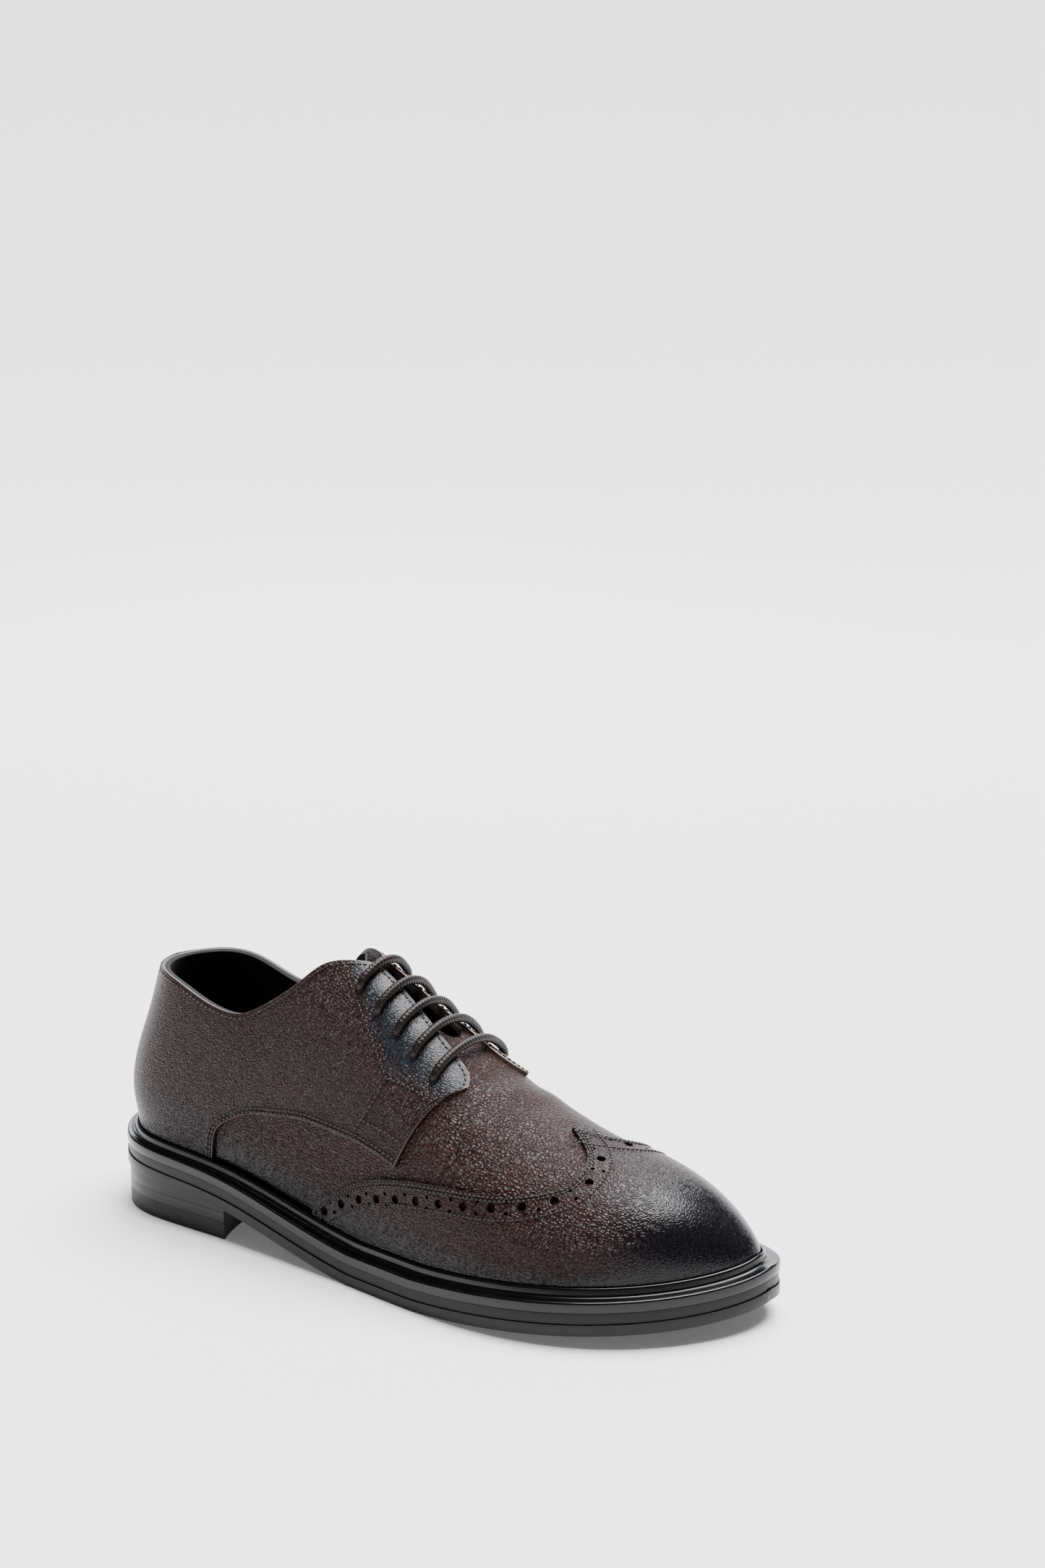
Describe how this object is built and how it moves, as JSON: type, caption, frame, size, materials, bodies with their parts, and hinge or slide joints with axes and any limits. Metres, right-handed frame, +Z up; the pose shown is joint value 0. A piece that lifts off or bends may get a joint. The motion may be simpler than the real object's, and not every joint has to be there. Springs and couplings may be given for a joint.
{
  "type": "brogue shoe",
  "caption": "Low leather lace-up shoe for the right foot, with a winged toe cap, open lacing, storm welt and stacked heel.",
  "frame": {"origin": "on the floor under the middle of the shoe's box", "axes": "+X from heel to toe, +Z up, -Y to the outer (lateral) side"},
  "size_m": [0.302, 0.1075, 0.1206],
  "materials": {
    "outsole": "black burnished leather edge, brown leather tread",
    "midsole": "black burnished leather edge",
    "heel_top_piece": "satin black rubber",
    "heel_lift": "black burnished stacked leather",
    "welt": "black polished leather",
    "insole": "black lining leather",
    "upper_leather": "dark burgundy brown pebble grain, waxed",
    "quarter_leather": "dark burgundy brown pebble grain, burnished facings",
    "back_strip_leather": "burnished dark grain",
    "wing_cap_leather": "burnished grain with brogue punching",
    "tongue_leather": "dark grain leather",
    "lace": "round waxed cord"
  },
  "bodies": {
    "root": {"outsole": "outsole", "midsole": "midsole", "heel_top_piece": "heel_top_piece", "heel_lift_lower": "heel_lift", "heel_lift_upper": "heel_lift", "welt": "welt", "insole": "insole", "upper": "upper_leather", "quarter_lateral": "quarter_leather", "quarter_medial": "quarter_leather", "back_strip": "back_strip_leather", "wing_cap": "wing_cap_leather", "tongue": "tongue_leather", "lace_bar_1": "lace", "lace_bar_2": "lace", "lace_bar_3": "lace", "lace_bar_4": "lace", "lace_bar_5": "lace"}
  },
  "joints": []
}
